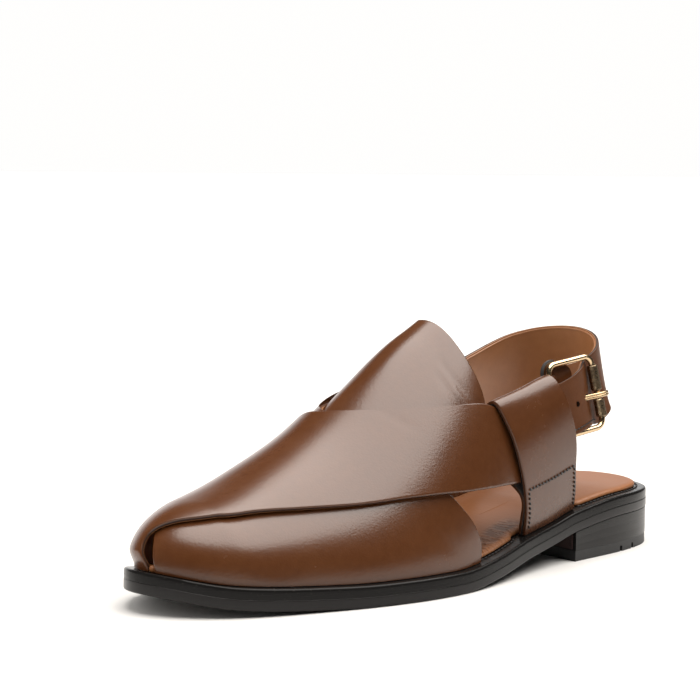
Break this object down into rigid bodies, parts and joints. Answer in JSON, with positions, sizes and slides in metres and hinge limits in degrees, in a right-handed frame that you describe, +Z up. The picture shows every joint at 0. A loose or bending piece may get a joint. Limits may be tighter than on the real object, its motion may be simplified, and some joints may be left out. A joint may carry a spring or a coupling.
{
  "type": "peshawari chappal",
  "caption": "Left closed-toe leather sandal with crossing vamp straps, a tall tongue, side loops and a buckled heel strap on a welted sole with a low heel.",
  "frame": {"origin": "middle of the shoe's bounding box in plan, on the floor plane it stands on", "axes": "+Y towards the heel, -Y towards the toe, +X towards the outer side of the left foot, +Z up"},
  "size_m": [0.0926, 0.2718, 0.1021],
  "materials": {
    "sole_edge_black": "waxed black edge, semi gloss",
    "stacked_leather_black": "stacked lifts, waxed black",
    "rubber_black": "matt with fine ribs",
    "leather_brown": "polished mid brown, semi gloss",
    "lining_tan": "natural tan lining, satin",
    "antique_brass": "antique plated, partly darkened"
  },
  "bodies": {
    "root": {"outsole": "sole_edge_black", "midsole": "sole_edge_black", "heel_stack": "stacked_leather_black", "heel_top_piece": "rubber_black", "insole": "lining_tan", "upper": "leather_brown", "tongue": "leather_brown", "side_loop_lateral": "leather_brown", "side_loop_medial": "leather_brown", "heel_strap": "leather_brown", "buckle_chape": "leather_brown", "buckle_frame": "antique_brass", "buckle_roller_upper": "antique_brass", "buckle_roller_lower": "antique_brass", "buckle_prong": "antique_brass"}
  },
  "joints": []
}
